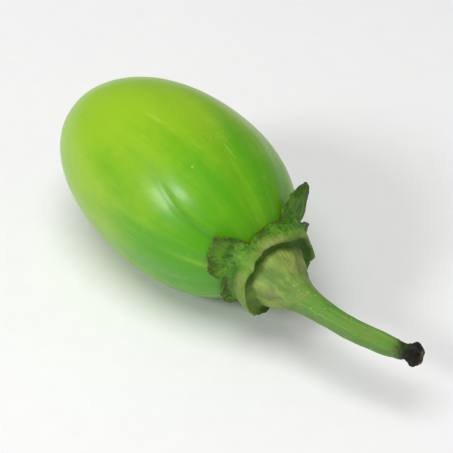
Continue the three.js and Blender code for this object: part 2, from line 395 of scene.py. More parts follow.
# The sphere's own height runs along the fruit, from -1 at the blossom tip to 1 at the pole.
sphere = n.add("GeometryNodeMeshUVSphere", asked["Points round"], asked["Rings"], 1.0)
side_y, side_z, height = n.xyz(n.add("GeometryNodeInputPosition"))
ring = n.vector("LENGTH", n.join(side_y, side_z, 0.0), out=1)
across = n.math("ABSOLUTE", height)
half_width = n.math("DIVIDE", asked["Width"], 2.0)
radius = n.times(ring, half_width)
round_angle = n.math("ARCTAN2", n.times(side_y, -1.0), side_z)


def reach_along(reach, fullness):
    return n.times(reach, n.math("POWER", across, n.math("DIVIDE", 2.0, fullness)))


tip = n.times(n.bell(radius, 0.0, asked["Tip spread"]), asked["Tip rise"])
blunt = n.minus(asked["Blossom reach"], asked["Tip rise"])
blossom_x = n.times(n.plus(reach_along(blunt, asked["Blossom fullness"]), tip), -1.0)
shoulder_x = reach_along(asked["Shoulder reach"], asked["Shoulder fullness"])
on_shoulder = n.math("GREATER_THAN", height, 0.0)
x = n.blend(on_shoulder, blossom_x, shoulder_x)
whole = n.plus(asked["Blossom reach"], asked["Shoulder reach"])
share_along = n.math("DIVIDE", n.plus(x, asked["Blossom reach"]), whole)

# Grooves. The ribs on the upper side have grown a little askew, so their grooves slant.
slanted = n.times(n.ease(round_angle, *SLANT_STARTS), n.ease(round_angle, *SLANT_ENDS, 1.0, 0.0))
behind = n.math("MINIMUM", n.minus(SLANT_FROM, share_along), SLANT_LIMITS[1])
behind = n.math("MAXIMUM", behind, SLANT_LIMITS[0])
slant = n.times(slanted, behind, asked["Groove slant"])
straightened = n.minus(n.plus(round_angle, slant), asked["First groove"])
turn = n.times(straightened, asked["Ribs"])
wave = n.math("MULTIPLY_ADD", n.math("COSINE", turn), 0.5, 0.5)
in_groove = n.math("POWER", wave, float(GROOVE_SHARPNESS))
fading = n.ease(share_along, *GROOVE_GROWS, GROOVE_LEFT, 1.0)
off_poles = n.ease(radius, 0.0, asked["Smooth radius"])
at_deepest = n.bell(round_angle, DEEPEST_AT, DEEPEST_SPREAD)
deepest = n.math("MULTIPLY_ADD", at_deepest, 1.0 - SHALLOWEST, SHALLOWEST)
groove_mask = n.times(in_groove, fading, off_poles, deepest)
pressed = n.times(groove_mask, asked["Groove depth"])

# A narrow crease in each groove, which wanders a little and dies out towards the middle
wander_noise = n.noise(n.join(x, side_y, side_z), WANDER_SCALE, detail=1.0)
wandered = n.plus(turn, n.swing(wander_noise, asked["Crease wander"]))
from_crease = n.math("SINE", n.times(wandered, 0.5))
crease_share = n.math("MULTIPLY_ADD", at_deepest, 1.0 - SMALLEST_CREASE, SMALLEST_CREASE)
crease_mask = n.times(n.bell(from_crease, 0.0, asked["Crease width"]),
                      n.ease(share_along, *CREASE_GROWS), off_poles, crease_share)
pressed = n.plus(pressed, n.times(crease_mask, asked["Crease depth"]))
lean = n.minus(1.0, n.math("DIVIDE", pressed, n.math("MAXIMUM", radius, 1e-5)))
point = n.join(x, n.times(side_y, half_width, lean), n.times(side_z, half_width, lean))

# A grown thing is never quite even, and the blossom has left a small corky ring with a pit.
swell = n.swing(n.noise(point, SWELL_SCALE, detail=1.0))
ripple = n.swing(n.noise(point, RIPPLE_SCALE, detail=1.0), RIPPLE_SHARE)
uneven = n.times(n.plus(swell, ripple), asked["Unevenness"])
at_blossom = n.minus(1.0, on_shoulder)
scar_ring = n.bell(radius, asked["Scar radius"], n.times(asked["Scar radius"], RING_WIDTH))
scar_pit = n.bell(radius, 0.0, n.times(asked["Scar radius"], PIT_WIDTH))
scar = n.minus(n.times(scar_ring, RING_HEIGHT), n.times(scar_pit, PIT_DEPTH))
scar_height = n.times(scar, at_blossom, asked["Scar radius"])
rise = n.plus(uneven, scar_height)
outwards = n.vector("NORMALIZE", n.join(n.times(height, 0.5), side_y, side_z))
point = n.vector("MULTIPLY_ADD", outwards, n.join(rise, rise, rise), point)

set_down = lay_down(n, point, asked["Blossom reach"], asked["Shoulder reach"],
                    asked["Bow"], asked["Droop"], asked["Slide"])
down_x, down_y, down_z = n.xyz(set_down)
resting = n.join(down_x, down_y, n.math("SMOOTH_MAX", down_z, 0.0, asked["Rest softness"]))

# The notes for the material
stain = n.bell(radius, 0.0, n.times(asked["Scar radius"], STAIN_WIDTH))
between_grooves = n.math("MULTIPLY_ADD", n.math("COSINE", wandered), -0.5, 0.5)
rib_line = n.math("POWER", between_grooves, asked["Rib line sharpness"])
skin = sphere
for label, value in (
    ("along", share_along),
    ("groove", groove_mask),
    ("crease", crease_mask),
    ("rib_line", n.times(rib_line, n.ease(share_along, *RIB_LINE_GROWS))),
    ("scar", n.times(at_blossom, stain)),
):
    skin = n.note(skin, label, value)
way_round = n.join(n.math("SINE", round_angle), n.math("COSINE", round_angle), share_along)
skin = n.note(skin, "way", way_round, "FLOAT_VECTOR")
skin = n.add("GeometryNodeSetPosition", named={"Geometry": skin, "Position": resting})
skin = n.add("GeometryNodeRealizeInstances", skin)
skin = n.add("GeometryNodeSetMaterial", named={"Geometry": skin, "Material": asked["Finish"]})
n.feed(given["Geometry"], skin)
print("berry tree:", len(berry_tree.nodes), "nodes")

# %% [markdown]
# The tree runs on an empty mesh, and what it makes is kept as a plain mesh with no modifier left on
# it. The only inputs that need a value here are the ones that have no default of their own.

# %% The berry
skin_finish = bpy.data.materials.new("waxy green skin")
berry = grow("berry", bpy.data.meshes.new("seed"), berry_tree,
             {"Slide": slide, "Finish": skin_finish})
measure(berry)


# %% [markdown]
# ## The calyx
#
# The calyx is what is left of the flower's green cup. Its five sepals are grown together round the
# stem into a thick raised collar, and their points lie on the berry's shoulder or lift off it as
# they dry. Its surface is worked out in polar steps: along the skin from the pole, and round the
# axis. Each step gets a height above the skin, so the leaf always sits on the berry. That is plain
# arithmetic on arrays, so it is mesh code and not a node tree.

# %% Sizes of the calyx
FOOT_RADIUS = 6.3 * MM
FOOT_OFFSET = (-0.8 * MM, -0.9 * MM)
COLLAR_FROM_FOOT = 1.6 * MM
COLLAR = math.hypot(*FOOT_OFFSET) + FOOT_RADIUS + COLLAR_FROM_FOOT
CUP_FROM_COLLAR = 0.9 * MM
CUP = COLLAR + CUP_FROM_COLLAR
CALYX_GAP = 0.35 * MM
CALYX_THICKNESS = 4 * MM
LEAF_THICKNESS = 0.65 * MM
COLLAR_RISE = 1.8 * MM
BETWEEN_LOBES = 0.4 * MM
CREST_INNER = 1.4 * MM                  # how wide the collar's crest is towards the stem, and
CREST_OUTER = 1.05 * MM                 # towards the skin
RIM_RADIUS = 0.45 * MM
VEIN_SPACING = 1.5 * MM
VEIN_SLANT = 0.9
MIDRIB_WIDTH = 0.55 * MM
MIDRIB_HEIGHT = 0.28 * MM
VEIN_HEIGHT = 0.03 * MM
PLEAT_HEIGHT = 0.26 * MM
DENT_HEIGHT = 0.42 * MM
CALYX_ROUND = 480
CUP_ROWS = 40
LOBE_ROWS = 34
UNDER_STEP = 6

# Places round the stem, each with its spread and how much it adds: where the crest stands up in a
# fold and leans over, where the recess is nearly filled, and where the edge has curled up.
LOWER_FOLD = (math.radians(155), math.radians(36), 1.1 * MM)
FILLED = (math.radians(118), math.radians(42), 2.3 * MM)
CURLED_EDGE = (math.radians(44), math.radians(11), 1.9 * MM)

# Each sepal: where it points, how far it reaches past the cup, how high its tip lifts,
# how wide it is on either side of its middle, and how sharp its point is.
SEPALS = (
    # degrees, mm, mm, degrees, degrees, 0 blunt to 1 sharp
    (-47, 8.2, 4.2, 27, 21, 0.05),
    (58, 7.4, 0.2, 21, 50, 0.1),
    (132, 4.6, 0.5, 52, 30, 0.3),
    (199, 5.6, 0.3, 33, 30, 0.35),
    (266, 7.8, 1.6, 31, 31, 0.5),
)
print(f"calyx: {len(SEPALS)} sepals on a cup {2 * CUP / MM:.1f} mm wide")


# %% [markdown]
# Smooth random unevenness comes from Blender's own noise, read along a circle where it has to
# close on itself. It is the same on every run.

# %% Unevenness
def rough(points, offset=0.0):
    """Smooth noise, about -1 to 1, at each of an array of 3-D points."""
    flat = points.reshape(-1, 3)
    shift = Vector((offset, 0.7 * offset, -0.4 * offset))
    values = [noise.noise(Vector(point) + shift) for point in flat]
    return np.array(values).reshape(points.shape[:-1])


def rough_round(angle, bumps, outward=0.0, offset=0.0):
    """Noise that runs round the axis with about that many bumps per turn."""
    reach = bumps / math.tau * 2
    ring = np.stack([reach * np.sin(angle), reach * np.cos(angle), outward + 0 * angle], -1)
    return rough(ring, offset)


# %% [markdown]
# `sepal_at` says which sepal owns a direction: its length, its lift, how far off its middle the
# direction is, and how much of its width is left. A blunt sepal ends in a wide arch and a sharp one
# in a spike, and each is a mix of the two. The margin is ragged, as a dried leaf's is.

# %% The sepals' outline
def sepal_at(angle):
    best, length, lift, sharp = np.zeros((4, *angle.shape))
    across = np.ones_like(angle)
    for at, reach, raised, low_side, high_side, sharpness in SEPALS:
        turn = angle - math.radians(at)
        away = np.arctan2(np.sin(turn), np.cos(turn))
        half = np.where(away < 0, math.radians(low_side), math.radians(high_side))
        share = np.clip(1 - np.abs(away) / half, 0, 1)
        owns = share > best
        best = np.where(owns, share, best)
        length = np.where(owns, reach * MM, length)
        lift = np.where(owns, raised * MM, lift)
        across = np.where(owns, away, across)
        sharp = np.where(owns, sharpness, sharp)
    return best, length, lift, across, sharp


def sepal_outline(share, sharp, bend=2.6):
    arch = 1 - (1 - share) ** bend
    spike = share**bend
    return (1 - sharp) * arch + sharp * spike


angles = np.linspace(0, math.tau, CALYX_ROUND, endpoint=False)
*sepal_rows, sharp_now = sepal_at(angles)
share_now, length_now = sepal_rows[:2]
ragged = 1 + 0.16 * rough_round(angles, bumps=22)
ragged = ragged + 0.05 * rough_round(angles, bumps=80, offset=5)
sepal_reach = BETWEEN_LOBES + length_now * sepal_outline(share_now, sharp_now) * ragged
print("sepals reach", np.round(sepal_reach.max() / MM, 2), "mm past the cup")

# %% [markdown]
# Now the heights. From the pole outwards: a floor that the stem stands on, a steep inner wall, the
# collar's crest, and then the leaf thinning to its edge. The crest leans in over the recess, stands
# up in a fold on the lower side, and on the side next to it the recess is nearly filled. Radial
# pleats run down the outside of the collar, a midrib runs along each sepal with side veins leaving
# it at an angle, and the edges curl.

# %% The calyx's surface
cup_steps = CUP * np.linspace(0, 1, CUP_ROWS, endpoint=False)[:, None] + 0 * angles
lobe_steps = CUP + np.linspace(0, 1, LOBE_ROWS)[:, None] * sepal_reach
distance = np.concatenate([cup_steps, lobe_steps])
angle = angles + 0 * distance
share, length, lift, across = (row + 0 * distance for row in sepal_rows)
to_rim = CUP + sepal_reach - distance
sideways = distance * across
outwards = np.clip((distance - COLLAR) / (length + CUP - COLLAR), 0, 1)

# The collar's crest and the recess inside it
towards_foot = np.cos(angle) * FOOT_OFFSET[1] - np.sin(angle) * FOOT_OFFSET[0]
crest_wander = MM * (0.3 + 0.6 * rough_round(angle, bumps=7, offset=2) + 0.3 * share)
crest_at = COLLAR + 0.6 * towards_foot + crest_wander
crest = bell(distance, crest_at, np.where(distance < crest_at, CREST_INNER, CREST_OUTER))
fold_at, fold_spread, fold_rise = LOWER_FOLD
lower_fold = bell(angle, fold_at, fold_spread)
crest_rise = COLLAR_RISE * (0.95 + 0.25 * share + 0.6 * rough_round(angle, bumps=8, offset=9))
crest_rise = crest_rise + fold_rise * lower_fold
filled_at, filled_spread, filled_rise = FILLED
filled = bell(angle, filled_at, filled_spread) * (1 - smoothstep(distance, crest_at, crest_at + MM))
fill = filled_rise * filled * smoothstep(distance, 2 * MM, 6.5 * MM)

# Veins, pleats and dents, as masks
midrib = bell(sideways, 0, MIDRIB_WIDTH * (1.3 - outwards)) * smoothstep(share, 0, 0.35)
vein_phase = (distance - VEIN_SLANT * np.abs(sideways)) / VEIN_SPACING
vein_phase = vein_phase + 0.35 * rough_round(angle, bumps=12, outward=distance / MM * 0.5)
side_veins = bell(vein_phase - np.round(vein_phase), 0, 0.16)
side_veins = side_veins * smoothstep(distance, CUP, CUP + VEIN_SPACING)
side_veins = side_veins * smoothstep(np.abs(sideways), 0.3 * MM, MM)
pleats = rough_round(angle, bumps=34, outward=distance / MM * 0.25, offset=3)
pleated = smoothstep(distance, COLLAR - 2 * MM, COLLAR)
pleated = pleated * (1 - smoothstep(distance, CUP + MM, CUP + 5 * MM))
dents = rough_round(angle, bumps=16, outward=distance / MM * 0.35, offset=7)

# The thickness: the cup's pad thins to the leaf, and the leaf's edge is rounded
flank_end = CUP + MM * (1.6 + 1.2 * share + 0.5 * rough_round(angle, bumps=10, offset=21))
pad = 1 - smoothstep(distance, COLLAR - 0.5 * MM, flank_end)
leaf = LEAF_THICKNESS + (CALYX_THICKNESS - LEAF_THICKNESS) * pad
relief = MIDRIB_HEIGHT * midrib + VEIN_HEIGHT * side_veins
relief = relief + PLEAT_HEIGHT * pleats * pleated + DENT_HEIGHT * dents
off_floor = smoothstep(distance, COLLAR - 3 * MM, COLLAR - MM)
rounded = np.sqrt(np.clip(to_rim / RIM_RADIUS, 0, 1))
thickness = (leaf + relief * off_floor) * (0.25 + 0.75 * rounded) + crest * crest_rise + fill

# The underside: lifted towards the tips, and curled along the edges
curl = bell(to_rim, 0, 1.5 * MM) * smoothstep(share, 0.05, 0.4)
curl_rise = np.maximum(MM * (0.55 + 0.8 * rough_round(angle, bumps=11, offset=11)), 0)
curled_at, curled_spread, curled_rise = CURLED_EDGE
curled_edge = bell(angle, curled_at, curled_spread) * bell(to_rim, 0, 2 * MM)
under = CALYX_GAP + lift * outwards**1.7 * np.sqrt(share) + curl * curl_rise
under = under + curled_edge * curled_rise
lean = MM * crest * (1.1 + 0.9 * lower_fold)
print("thickest:", round(float(thickness.max()) / MM, 2), "mm")

# %% [markdown]
# The leaf is closed: its upper side, then its underside with fewer rows, meeting along the rim, and
# a fan of faces at each pole. What each point is, such as rim, vein, crest or recess, is kept on
# the mesh for the finish.

# %% The calyx
def laid(points):
    """Points of the berry's frame, bowed and laid down with it."""
    down = bowed(points).reshape(-1, 3) @ np.array(lie.to_3x3()).T + np.array(lie.translation)
    return down.reshape(points.shape)


upper = laid(skin_point(distance - lean, angle, under + thickness))
under_rows = list(range(len(distance) - 2, 0, -UNDER_STEP))
lower = laid(skin_point(distance - lean, angle, under))[under_rows]
grid = np.concatenate([upper[1:], lower])
row_count = len(grid)
under_pole_ring = laid(skin_point(distance[0], angle[0], under[0]))
poles = np.stack([upper[0].mean(0), under_pole_ring.mean(0)])
vertices = np.concatenate([grid.reshape(-1, 3), poles])
top_pole, under_pole = len(vertices) - 2, len(vertices) - 1


def strip(first, second):
    """Faces between two rows of the grid."""
    here = np.arange(CALYX_ROUND)
    ahead = (here + 1) % CALYX_ROUND
    a, b = first * CALYX_ROUND, second * CALYX_ROUND
    return np.stack([a + here, a + ahead, b + ahead, b + here], -1).tolist()


faces = [face for row in range(row_count - 1) for face in strip(row, row + 1)]
for pole, row, order in ((top_pole, 0, 1), (under_pole, row_count - 1, -1)):
    for here in range(CALYX_ROUND):
        pair = (row * CALYX_ROUND + here, row * CALYX_ROUND + (here + 1) % CALYX_ROUND)
        faces.append((pole, *pair[::-order]))


def mesh_piece(name, vertices, faces, finish):
    mesh = bpy.data.meshes.new(name)
    mesh.from_pydata(vertices.tolist(), [], faces)
    mesh.validate()
    shell = bmesh.new()
    shell.from_mesh(mesh)
    bmesh.ops.recalc_face_normals(shell, faces=shell.faces)
    shell.to_mesh(mesh)
    shell.free()
    mesh.materials.append(finish)
    mesh.shade_smooth()
    piece = bpy.data.objects.new(name, mesh)
    bpy.context.scene.collection.objects.link(piece)
    return piece


def keep_notes(piece, **notes):
    """Writes float or 3-D arrays on a mesh's points, for its material."""
    for name, values in notes.items():
        kind, field = ("FLOAT_VECTOR", "vector") if values.ndim == 2 else ("FLOAT", "value")
        layer = piece.data.attributes.new(name, kind, "POINT")
        layer.data.foreach_set(field, values.astype(np.float32).ravel())


def by_vertex(values, at_top, at_bottom):
    """An array over the polar grid as one value for each vertex of the closed leaf."""
    flat = np.concatenate([values[1:], values[under_rows]]).ravel()
    return np.concatenate([flat, [at_top, at_bottom]])


calyx_finish = bpy.data.materials.new("mottled calyx leaf")
calyx_leaf = mesh_piece("calyx_leaf", vertices, faces, calyx_finish)
inside_crest = 1 - smoothstep(distance, crest_at - 1.6 * MM, crest_at)
keep_notes(
    calyx_leaf,
    rim=by_vertex(bell(to_rim, 0, 1.3 * MM) * smoothstep(distance, CUP - MM, CUP + MM), 0, 0),
    vein=by_vertex(np.maximum(midrib * off_floor, 0.6 * side_veins), 0, 0),
    crest=by_vertex(crest, 0, 0),
    # This mask carries the painted shade of the recess.
    recess=by_vertex(inside_crest * (1 - 0.8 * filled), 1, 1),
    filled=by_vertex(filled, 0, 0),
    tip=by_vertex(outwards * share, 0, 0),
    # This mask carries the painted shade of the leaf's underside.
    underside=np.repeat([0, 1, 0, 1], [upper[1:, :, 0].size, lower[:, :, 0].size, 1, 1]),
    leaf_way=np.stack([by_vertex(np.sin(angle), 0, 0), by_vertex(np.cos(angle), 0, 0),
                       by_vertex(distance / (20 * MM), 0, 0)], -1),
)
measure(calyx_leaf)


# %% [markdown]
# ## The stem
#
# The stem leaves the calyx as a lumpy cone, narrows to a pencil's width and ends where it was cut,
# dried and blackened. It follows a path, so it is a Geometry Nodes tree: a plain cylinder is
# wrapped along a curve, and its radius, ridges and lumps are added as it goes. Its foot sinks a
# little way into the floor of the calyx, which falls away from the pole, so no gap shows round it.
# A few pale breathing pores are scattered over the green part. The wrapping turns the cylinder's
# faces inwards, so the tree turns them round again.

# %% Sizes of the stem
STEM_LENGTH = 42 * MM
STEM_RADIUS = 2.6 * MM
FOOT_ROUND = 9 * MM
FOOT_HEIGHT = SHOULDER_REACH + CALYX_GAP + CALYX_THICKNESS
stem_foot = Vector((FOOT_HEIGHT, FOOT_OFFSET[0], FOOT_OFFSET[1]))

# Swellings near the cut: how far from the cut each one is, and its spread
KNOB = (1.6 * MM, 1.5 * MM)
WAIST = (3.4 * MM, 4.2 * MM)
CUT_EDGE = (0.0, 0.75 * MM)
CUT_CLEFT = (0.0, 2.2 * MM)
CUT_PITH = (0.0, 0.3)                   # on the cut face, as shares of its radius
CLEFT_TURN = 1.2                        # which way the cleft runs across the cut, in radians
WAY_ALONG, TWIST = 60.0, 25.0           # per metre of stem
PORES_START, PORES_STOP = (0.1, 0.2), (0.7, 0.8)
PORE_SIZE = (0.26 * MM, 0.15 * MM, 0.06 * MM)
PATH_POINTS = 64
CUT_RINGS = 7
CROWDING = 1.25                         # above 1, the rings stand closer near the foot
LAST_RING = 0.9999                      # of the cylinder's height: beyond it is the cut face
print(f"stem: {STEM_LENGTH / MM:.1f} mm long, {2 * STEM_RADIUS / MM:.1f} mm thick")

# %% The stem's nodes
stem_tree, n, asked, given = new_tree("Grow a cut stem", "GeometryNodeTree", [
    ("Points round", COUNT, 96),
    ("Rings", COUNT, 190),
    ("Length", NUMBER, STEM_LENGTH),
    ("Radius", NUMBER, STEM_RADIUS),
    ("Foot", ARROW, None),
    ("Foot radius", NUMBER, FOOT_ROUND),
    ("Foot flare", NUMBER, 5.5 * MM),
    ("Foot curve", NUMBER, 1.15),
    ("Foot sinks", NUMBER, 0.9 * MM),
    ("Sway", NUMBER, 10.8 * MM),
    ("Sway bend", NUMBER, 2.1),
    ("Rise", NUMBER, 0.4 * MM),
    ("Shortening", NUMBER, 0.03),
    ("Ridges", NUMBER, 5.0),
    ("Ridge height", NUMBER, 0.14 * MM),
    ("Foot ridge height", NUMBER, 0.62 * MM),
    ("Fibre height", NUMBER, 0.035 * MM),
    ("Unevenness", NUMBER, 0.34 * MM),
    ("Dried length", NUMBER, 9.0 * MM),
    ("Dried lumps", NUMBER, 3.4 * MM),
    ("Waist", NUMBER, 0.8 * MM),
    ("Knob swell", NUMBER, 0.35 * MM),
    ("Cut bulge", NUMBER, 0.7 * MM),
    ("Cut rounding", NUMBER, 1.1 * MM),
    ("Cleft", NUMBER, 0.55 * MM),
    ("Torn fibres", NUMBER, 0.9 * MM),
    ("Pith depth", NUMBER, 0.35 * MM),
    ("Pores per square metre", NUMBER, 90000.0),
    ("Seed", COUNT, 5),
    ("Half berry width", NUMBER, WIDTH / 2),
    ("Blossom reach", NUMBER, BLOSSOM_REACH),
    ("Shoulder reach", NUMBER, SHOULDER_REACH),
    ("Shoulder fullness", NUMBER, SHOULDER_FULLNESS),
    ("Bow", NUMBER, BOW),
    ("Droop", NUMBER, DROOP),
    ("Slide", ARROW, None),
    ("Finish", FINISH, None),
], [("Geometry", GEOMETRY)])

# The path
straight = n.add("GeometryNodeCurvePrimitiveLine", (0, 0, 0), (1, 0, 0))
fine = n.add("GeometryNodeResampleCurve", named={"Curve": straight, "Count": PATH_POINTS})
going = n.add("GeometryNodeSplineParameter")
shorter = n.minus(1.0, n.times(going, asked["Shortening"]))
path_point = n.join(
    n.times(asked["Length"], going, shorter),
    n.times(n.math("POWER", going, asked["Sway bend"]), asked["Sway"]),
    n.times(going, asked["Rise"]),
)
path_point = n.vector("ADD", path_point, asked["Foot"])
path = n.add("GeometryNodeSetPosition", named={"Geometry": fine, "Position": path_point})

# The cylinder. Its height is the share of the stem's length, with closer rings near the foot.
tube = n.add("GeometryNodeMeshCylinder", asked["Points round"], asked["Rings"], CUT_RINGS,
             1.0, 1.0, fill_type="TRIANGLE_FAN")
tube_x, tube_y, tube_z = n.xyz(n.add("GeometryNodeInputPosition"))
ring = n.vector("LENGTH", n.join(tube_x, tube_y, 0.0), out=1)
round_angle = n.math("ARCTAN2", tube_x, tube_y)
even_share = n.plus(tube_z, 0.5)
share = n.math("POWER", n.math("MAXIMUM", even_share, 0.0), CROWDING)
along = n.times(share, asked["Length"])
from_cut = n.minus(asked["Length"], along)

# The radius: the spread foot, a slight waist where it has dried, and the knob before the cut
spread = n.math("POWER", n.math("DIVIDE", along, asked["Foot flare"]), asked["Foot curve"])
spread = n.math("EXPONENT", n.times(spread, -1.0))
wider = n.times(n.minus(asked["Foot radius"], asked["Radius"]), spread)
knob = n.times(n.bell(from_cut, *KNOB), asked["Knob swell"])
waist = n.times(n.bell(from_cut, *WAIST), asked["Waist"])
rounding = n.times(n.bell(from_cut, *CUT_EDGE), asked["Cut rounding"])
radius = n.plus(asked["Radius"], wider, n.minus(knob, waist))
radius = n.minus(radius, rounding)

# The surface: ridges that wind along it, fibres, folds at the foot and lumps on the dried end.
# The noises are read on a cylinder, squeezed along the stem or stretched. A noise keeps near its
# middle, so its swing is widened before it is given a height.
around_stem = (n.math("SINE", round_angle), n.math("COSINE", round_angle))
way = n.join(*around_stem, n.times(along, WAY_ALONG))


def read_along(stretch, scale, **settings):
    return n.noise(n.vector("MULTIPLY", way, (1.0, 1.0, stretch)), scale, **settings)


twist = n.math("MULTIPLY_ADD", round_angle, asked["Ridges"], n.times(along, TWIST))
ridges = n.times(n.math("COSINE", twist), asked["Ridge height"])
near_foot = n.bell(along, 0.0, n.times(asked["Foot flare"], 1.2))
foot_noise = read_along(3.0, 2.0, detail=2.0, distortion=0.4)
foot_folds = n.swing(foot_noise, 3.6, near_foot, asked["Foot ridge height"])
fibres = n.swing(read_along(0.12, 14.0, detail=1.0), 4.0, asked["Fibre height"])
slow = n.swing(read_along(1.0, 1.6, detail=2.0), 2.0, asked["Unevenness"])
dried = n.ease(from_cut, 0.0, asked["Dried length"], 1.0, 0.0)
lumps = n.swing(read_along(5.0, 1.7, detail=3.0), dried, asked["Dried lumps"])
two_lobes = n.math("COSINE", n.math("MULTIPLY_ADD", round_angle, 2.0, CLEFT_TURN))
cleft = n.times(two_lobes, n.bell(from_cut, *CUT_CLEFT), asked["Cleft"])
surface = n.plus(ridges, foot_folds, fibres, slow, lumps, cleft)
on_cut = n.math("GREATER_THAN", even_share, LAST_RING)
inner = n.minus(1.0, n.times(ring, ring))
radius = n.times(n.plus(radius, surface), ring)

# The cut face: a shallow dome with a sunken pith and torn fibres
torn = n.swing(n.noise(n.join(tube_x, tube_y, 0.0), 5.0, detail=2.0), asked["Torn fibres"])
dome = n.times(n.ease(inner, 0.0, 0.6), asked["Cut bulge"])
pith = n.times(n.bell(ring, *CUT_PITH), asked["Pith depth"])
face = n.times(n.minus(n.plus(dome, torn), pith), on_cut)

# Wrapping it along the path: left and above are square to the direction ahead
sampled_path = n.add("GeometryNodeSampleCurve", named={"Curves": path, "Factor": share},
                     mode="FACTOR").node
middle, ahead = sampled_path.outputs["Position"], sampled_path.outputs["Tangent"]
left = n.vector("NORMALIZE", n.vector("CROSS_PRODUCT", (0, 0, 1), ahead))
above = n.vector("CROSS_PRODUCT", ahead, left)
to_left = n.times(around_stem[0], radius, -1.0)
to_above = n.times(around_stem[1], radius)
point = middle
for direction, reach in ((left, to_left), (above, to_above), (ahead, face)):
    point = n.vector("MULTIPLY_ADD", direction, n.join(reach, reach, reach), point)

# The foot falls away with the berry's shoulder and sinks into the calyx
point_x, point_y, point_z = n.xyz(point)
from_axis = n.vector("LENGTH", n.join(point_y, point_z, 0.0), out=1)
part = n.math("DIVIDE", from_axis, asked["Half berry width"])
flat = n.minus(1.0, n.times(part, part))
flat = n.math("POWER", n.math("MAXIMUM", flat, 0.0),
              n.math("DIVIDE", 1.0, asked["Shoulder fullness"]))
drop = n.times(n.minus(1.0, flat), asked["Shoulder reach"])
falls = n.ease(along, 0.0, n.times(asked["Foot flare"], 0.8), 1.0, 0.0)
down = n.times(n.plus(drop, asked["Foot sinks"]), falls)
point = n.join(n.minus(point_x, down), point_y, point_z)
set_down = lay_down(n, point, asked["Blossom reach"], asked["Shoulder reach"],
                    asked["Bow"], asked["Droop"], asked["Slide"])

stalk = tube
for label, value in (
    ("stem_along", share),
    ("cut", n.times(on_cut, n.ease(inner, 0.0, 0.35))),
    ("dried", dried),
    ("foot_fold", n.plus(n.swing(foot_noise, 2.0), 0.5)),
):
    stalk = n.note(stalk, label, value)
stalk = n.note(stalk, "stem_way", way, "FLOAT_VECTOR")
stalk = n.add("GeometryNodeSetPosition", named={"Geometry": stalk, "Position": set_down})
stalk = n.add("GeometryNodeFlipFaces", stalk)

# The pores: low oval bumps on the green part
how_far = n.add("GeometryNodeInputNamedAttribute", "stem_along", data_type="FLOAT")
green_part = n.times(n.ease(how_far, *PORES_START), n.ease(how_far, *PORES_STOP, 1.0, 0.0))
spots = n.add("GeometryNodeDistributePointsOnFaces", distribute_method="RANDOM", named={
    "Mesh": stalk, "Density": n.times(green_part, asked["Pores per square metre"]),
    "Seed": asked["Seed"]}).node
pore = n.add("GeometryNodeMeshUVSphere", 8, 5, 1.0)
pore = n.note(pore, "pore", 1.0)
grains = n.add("GeometryNodeInstanceOnPoints", named={
    "Points": spots.outputs["Points"], "Instance": pore, "Rotation": spots.outputs["Rotation"],
    "Scale": PORE_SIZE})
whole_stem = n.add("GeometryNodeJoinGeometry")
for part_of_stem in (stalk, grains):
    stem_tree.links.new(part_of_stem, whole_stem.node.inputs[0])
finished = n.add("GeometryNodeRealizeInstances", whole_stem)
finished = n.add("GeometryNodeSetMaterial",
                 named={"Geometry": finished, "Material": asked["Finish"]})
n.feed(given["Geometry"], finished)
print("stem tree:", len(stem_tree.nodes), "nodes")

# %% The stem
stem_finish = bpy.data.materials.new("drying green stem")
stalk_piece = grow("stalk", bpy.data.meshes.new("seed"), stem_tree,
                   {"Foot": stem_foot, "Slide": slide, "Finish": stem_finish})
measure(stalk_piece)


# %% [markdown]
# Each new piece now stands in for its CAD node, which is hidden, and rides on the one body.

# %% Standing in for the CAD nodes
for piece, node, finish_slot in (
    (berry, "fruit", "skin"),
    (calyx_leaf, "calyx", "calyx"),
    (stalk_piece, "stem", "stem"),
):
    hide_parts(node)
    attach(piece, "root")
print("pieces:", berry.name, calyx_leaf.name, stalk_piece.name)


# %% [markdown]
# ## Finishes
#
# All three surfaces are living tissue, so they share three effects: cloudy mottling, small freckles
# and fibres that run along the growth. Each is a shader node group with named inputs, built once
# and placed in every material with its own sizes. The colours themselves stay in the materials.

# %% Shared effects
NOISE_SPREAD = 2.6                      # spreads a noise, which keeps near 0.5, over 0 to 1


def effect(name, *inputs):
    """A shader group that reads a vector and some numbers and puts out one mask, 0 to 1."""
    sockets = [("Vector", ARROW, None)] + [(label, NUMBER, value) for label, value in inputs]
    return new_tree(name, "ShaderNodeTree", sockets, [("Mask", NUMBER)])


mottle, n, asked, given = effect(
    "Mottle", ("Patches", 90.0), ("Specks", 600.0), ("Speck share", 0.3), ("Contrast", 1.0))
patches = n.noise(asked["Vector"], asked["Patches"], detail=3.0, distortion=0.3)
specks = n.noise(asked["Vector"], asked["Specks"], detail=2.0)
cloud = n.blend(asked["Speck share"], patches, specks)
spread = n.swing(cloud, NOISE_SPREAD, asked["Contrast"])
n.feed(given["Mask"], n.math("ADD", spread, 0.5, clamp=True))

freckles, n, asked, given = effect(
    "Freckles", ("Per metre", 300.0), ("Size", 0.2), ("How many", 0.2))
cells = n.add("ShaderNodeTexVoronoi",
              named={"Vector": asked["Vector"], "Scale": asked["Per metre"]}).node
chance, spot_size, _ = n.xyz(cells.outputs["Color"])
SMALLEST_DOT = 0.3                      # as a share of the largest
own_size = n.math("MULTIPLY_ADD", spot_size, 1.0 - SMALLEST_DOT, SMALLEST_DOT)
widest = n.times(asked["Size"], own_size)
dot = n.ease(n.math("DIVIDE", cells.outputs["Distance"], widest), 0.45, 1.0, 1.0, 0.0)
n.feed(given["Mask"], n.times(dot, n.math("LESS_THAN", chance, asked["How many"])))

